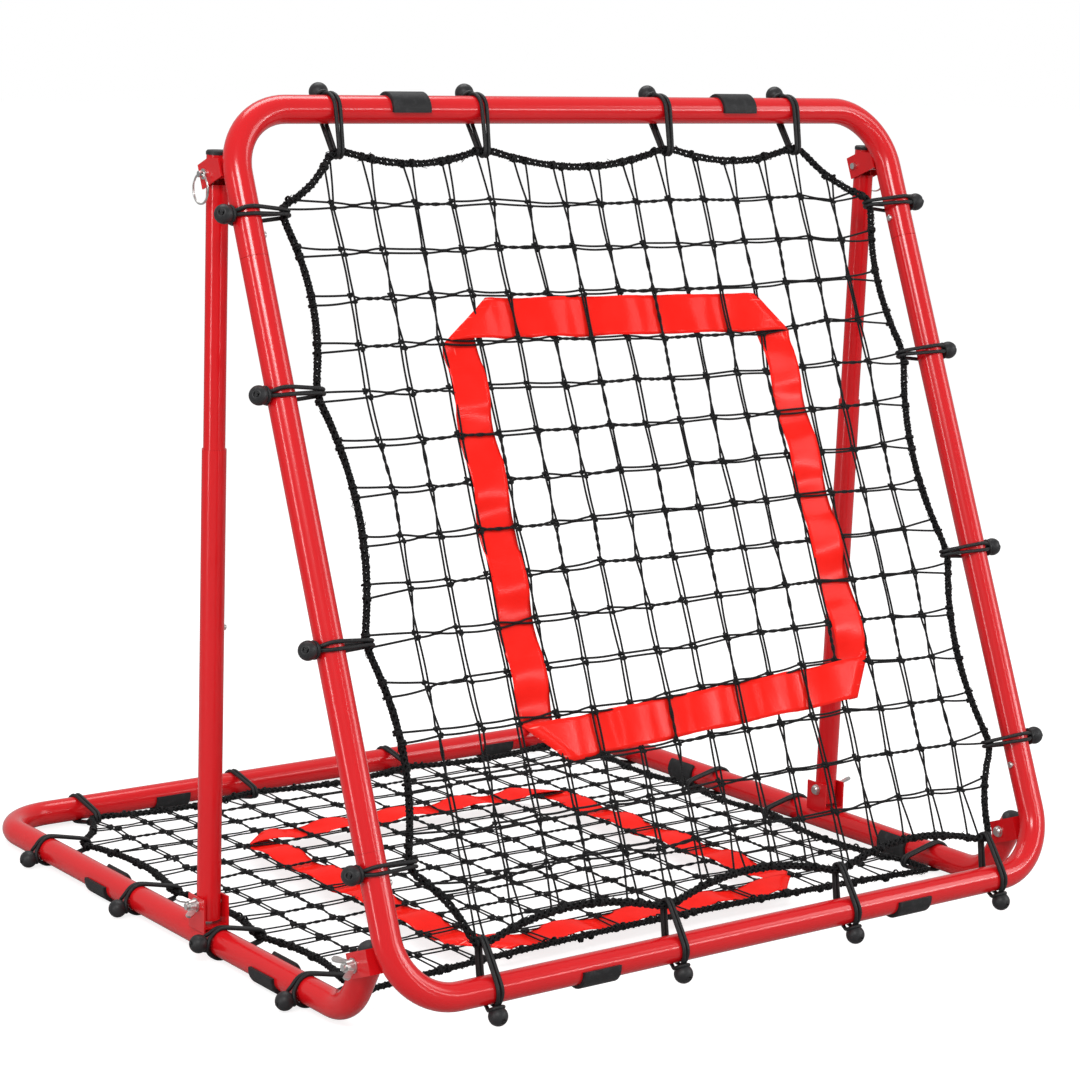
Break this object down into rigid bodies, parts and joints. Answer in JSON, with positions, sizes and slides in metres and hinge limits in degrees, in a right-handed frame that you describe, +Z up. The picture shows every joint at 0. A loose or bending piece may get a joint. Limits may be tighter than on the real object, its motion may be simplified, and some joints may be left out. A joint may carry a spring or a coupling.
{
  "type": "pitch back rebounder",
  "caption": "Folding pitch-back rebounder: a leaning tubular net frame hinged to a flat base net frame and propped by telescopic posts, with bungee-laced nets and target squares.",
  "frame": {"origin": "centre of the footprint on the floor", "axes": "+X to the right seen from the front, +Y to the back, +Z up; the front of the upright net faces -Y"},
  "size_m": [1.0368, 1.0505, 1.0018],
  "materials": {
    "red_paint": "glossy red powder coat",
    "net_cord": "black twisted polyethylene cord, knotted",
    "border_rope": "black braided rope",
    "target_tape": "glossy bright red PVC tape",
    "bungee_cord": "black braided elastic cord",
    "black_plastic": "black moulded plastic",
    "pad_rubber": "black rubber",
    "zinc_steel": "bright zinc plate"
  },
  "bodies": {
    "base": {"base_left_rail": "red_paint", "base_right_rail": "red_paint", "base_rear_tube": "red_paint", "end_plug_left": "black_plastic", "end_plug_right": "black_plastic", "foot_bracket_left": "red_paint", "foot_bracket_right": "red_paint", "base_pads": "pad_rubber", "base_net": "net_cord", "base_rope": "border_rope", "base_tape": "target_tape", "base_bungees": "bungee_cord", "base_balls": "black_plastic", "foot_bolts": "zinc_steel", "hinge_bolts": "zinc_steel", "washers": "zinc_steel"},
    "upright": {"upright_top_bow": "red_paint", "upright_bottom_bow": "red_paint", "upright_side_left": "red_paint", "upright_side_right": "red_paint", "hinge_bracket_left": "red_paint", "hinge_bracket_right": "red_paint", "top_bracket_left": "red_paint", "top_bracket_right": "red_paint", "upright_pads": "pad_rubber", "upright_net": "net_cord", "upright_rope": "border_rope", "upright_tape": "target_tape", "upright_bungees": "bungee_cord", "upright_balls": "black_plastic", "upright_springs": "zinc_steel"},
    "post_lower_left": {"post_lower_left": "red_paint"},
    "post_upper_left": {"post_upper_left": "red_paint", "post_cap_left": "black_plastic", "post_spring_left": "zinc_steel"},
    "post_button_left": {"post_button_left": "zinc_steel"},
    "top_pin_left": {"top_pin_left": "zinc_steel"},
    "split_ring_left": {"split_ring_left": "zinc_steel"},
    "up_button_top_left": {"up_button_top_left": "zinc_steel"},
    "up_button_low_left": {"up_button_low_left": "zinc_steel"},
    "wing_nut_hinge_left": {"wing_nut_hinge_left": "zinc_steel"},
    "wing_nut_foot_left": {"wing_nut_foot_left": "zinc_steel"},
    "post_lower_right": {"post_lower_right": "red_paint"},
    "post_upper_right": {"post_upper_right": "red_paint", "post_cap_right": "black_plastic", "post_spring_right": "zinc_steel"},
    "post_button_right": {"post_button_right": "zinc_steel"},
    "top_pin_right": {"top_pin_right": "zinc_steel"},
    "split_ring_right": {"split_ring_right": "zinc_steel"},
    "up_button_top_right": {"up_button_top_right": "zinc_steel"},
    "up_button_low_right": {"up_button_low_right": "zinc_steel"},
    "wing_nut_hinge_right": {"wing_nut_hinge_right": "zinc_steel"},
    "wing_nut_foot_right": {"wing_nut_foot_right": "zinc_steel"}
  },
  "joints": [
    {"name": "upright_fold", "type": "hinge", "parent": "base", "child": "upright", "pos_m": [0, -0.43792, 0.08675], "axis": [-1, 0, 0], "range_deg": [0, 68.5]},
    {"name": "post_swing_left", "type": "hinge", "parent": "base", "child": "post_lower_left", "pos_m": [-0.478, -0.09258, 0.061], "axis": [-1, 0, 0], "range_deg": [0, 91.9]},
    {"name": "post_slide_left", "type": "slide", "parent": "post_lower_left", "child": "post_upper_left", "axis": [0, -0.0315, 0.9995], "range_m": [-0.2702, 0]},
    {"name": "post_button_press_left", "type": "slide", "parent": "post_lower_left", "child": "post_button_left", "axis": [1, 0, 0], "range_m": [-0.0034, 0], "stiffness_N_per_m": 600, "springref_m": 0.001},
    {"name": "top_pin_pull_left", "type": "slide", "parent": "upright", "child": "top_pin_left", "axis": [-1, 0, 0], "range_m": [0, 0.046]},
    {"name": "split_ring_swing_left", "type": "hinge", "parent": "top_pin_left", "child": "split_ring_left", "pos_m": [-0.4993, -0.11909, 0.9016], "axis": [0, 1, 0], "range_deg": [-8, 85]},
    {"name": "up_button_press_top_left", "type": "slide", "parent": "upright", "child": "up_button_top_left", "axis": [1, 0, 0], "range_m": [-0.0035, 0], "stiffness_N_per_m": 600, "springref_m": 0.001},
    {"name": "up_button_press_low_left", "type": "slide", "parent": "upright", "child": "up_button_low_left", "axis": [1, 0, 0], "range_m": [-0.0035, 0], "stiffness_N_per_m": 600, "springref_m": 0.001},
    {"name": "wing_nut_hinge_turn_left", "type": "hinge", "parent": "base", "child": "wing_nut_hinge_left", "pos_m": [-0.503, -0.43792, 0.08675], "axis": [-1, 0, 0], "continuous": true},
    {"name": "wing_nut_foot_turn_left", "type": "hinge", "parent": "base", "child": "wing_nut_foot_left", "pos_m": [-0.503, -0.09258, 0.061], "axis": [-1, 0, 0], "continuous": true},
    {"name": "post_swing_right", "type": "hinge", "parent": "base", "child": "post_lower_right", "pos_m": [0.478, -0.09258, 0.061], "axis": [-1, 0, 0], "range_deg": [0, 91.9]},
    {"name": "post_slide_right", "type": "slide", "parent": "post_lower_right", "child": "post_upper_right", "axis": [0, -0.0315, 0.9995], "range_m": [-0.2702, 0]},
    {"name": "post_button_press_right", "type": "slide", "parent": "post_lower_right", "child": "post_button_right", "axis": [-1, 0, 0], "range_m": [-0.0034, 0], "stiffness_N_per_m": 600, "springref_m": 0.001},
    {"name": "top_pin_pull_right", "type": "slide", "parent": "upright", "child": "top_pin_right", "axis": [1, 0, 0], "range_m": [0, 0.046]},
    {"name": "split_ring_swing_right", "type": "hinge", "parent": "top_pin_right", "child": "split_ring_right", "pos_m": [0.4993, -0.11909, 0.9016], "axis": [0, -1, 0], "range_deg": [-8, 85]},
    {"name": "up_button_press_top_right", "type": "slide", "parent": "upright", "child": "up_button_top_right", "axis": [-1, 0, 0], "range_m": [-0.0035, 0], "stiffness_N_per_m": 600, "springref_m": 0.001},
    {"name": "up_button_press_low_right", "type": "slide", "parent": "upright", "child": "up_button_low_right", "axis": [-1, 0, 0], "range_m": [-0.0035, 0], "stiffness_N_per_m": 600, "springref_m": 0.001},
    {"name": "wing_nut_hinge_turn_right", "type": "hinge", "parent": "base", "child": "wing_nut_hinge_right", "pos_m": [0.503, -0.43792, 0.08675], "axis": [1, 0, 0], "continuous": true},
    {"name": "wing_nut_foot_turn_right", "type": "hinge", "parent": "base", "child": "wing_nut_foot_right", "pos_m": [0.503, -0.09258, 0.061], "axis": [1, 0, 0], "continuous": true}
  ],
  "couplings": [
    {"joint": "post_swing_left", "follows": "upright_fold", "ratio": 1.3402},
    {"joint": "post_slide_left", "follows": "upright_fold", "m_per_rad": -0.22584},
    {"joint": "post_swing_right", "follows": "upright_fold", "ratio": 1.3402},
    {"joint": "post_slide_right", "follows": "upright_fold", "m_per_rad": -0.22584}
  ]
}
